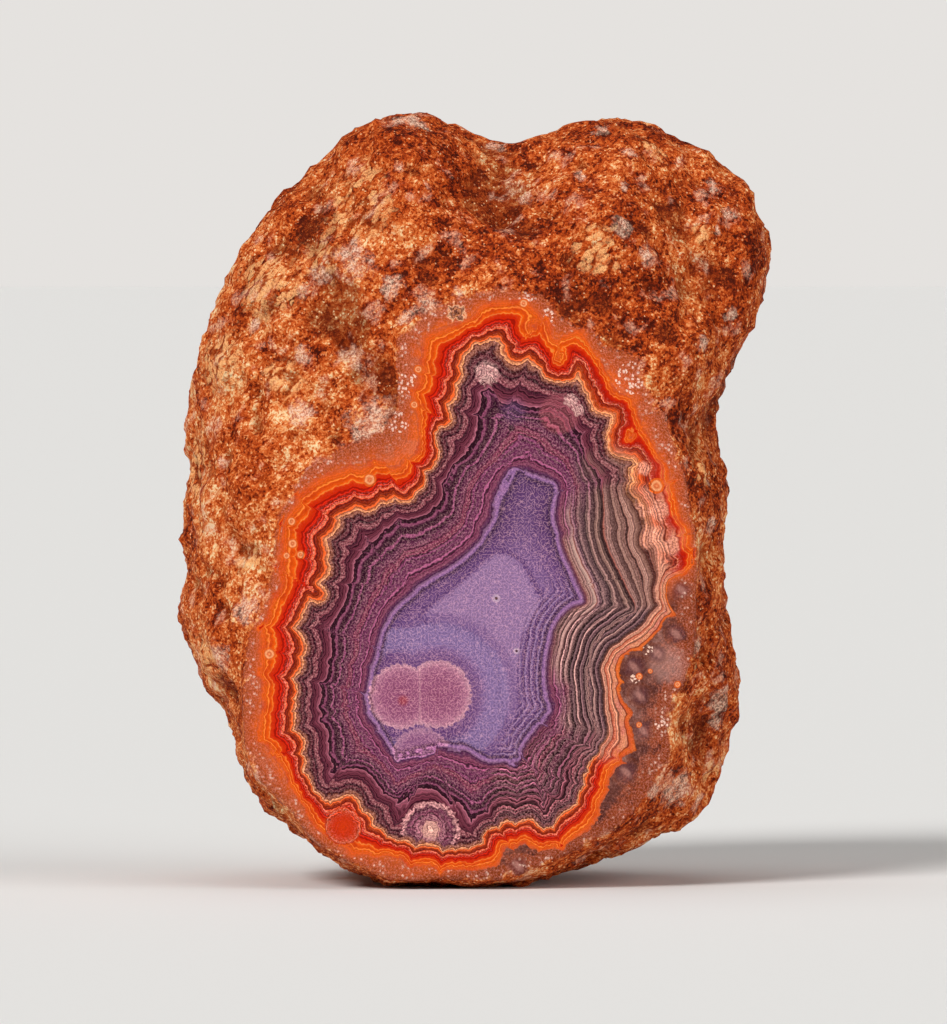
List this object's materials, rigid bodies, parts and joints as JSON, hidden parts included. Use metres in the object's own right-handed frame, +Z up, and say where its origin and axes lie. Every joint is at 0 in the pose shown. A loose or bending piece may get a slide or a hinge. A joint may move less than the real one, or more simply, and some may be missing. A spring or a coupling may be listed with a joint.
{
  "type": "agate nodule",
  "caption": "Natural agate nodule with a rough rusty rind and one flat polished window showing scalloped bands, standing on a small flat spot.",
  "frame": {"origin": "on the small flat spot at the foot of the stone, under its middle", "axes": "+Z up, which is the stone's longest way; -Y out of the polished window; +X to the right as seen facing the window"},
  "size_m": [0.059, 0.0437, 0.0775],
  "materials": {
    "agate": "stone: rough granular rind, with one flat face polished to a gloss"
  },
  "bodies": {
    "root": {"agate_nodule": "agate"}
  },
  "joints": []
}
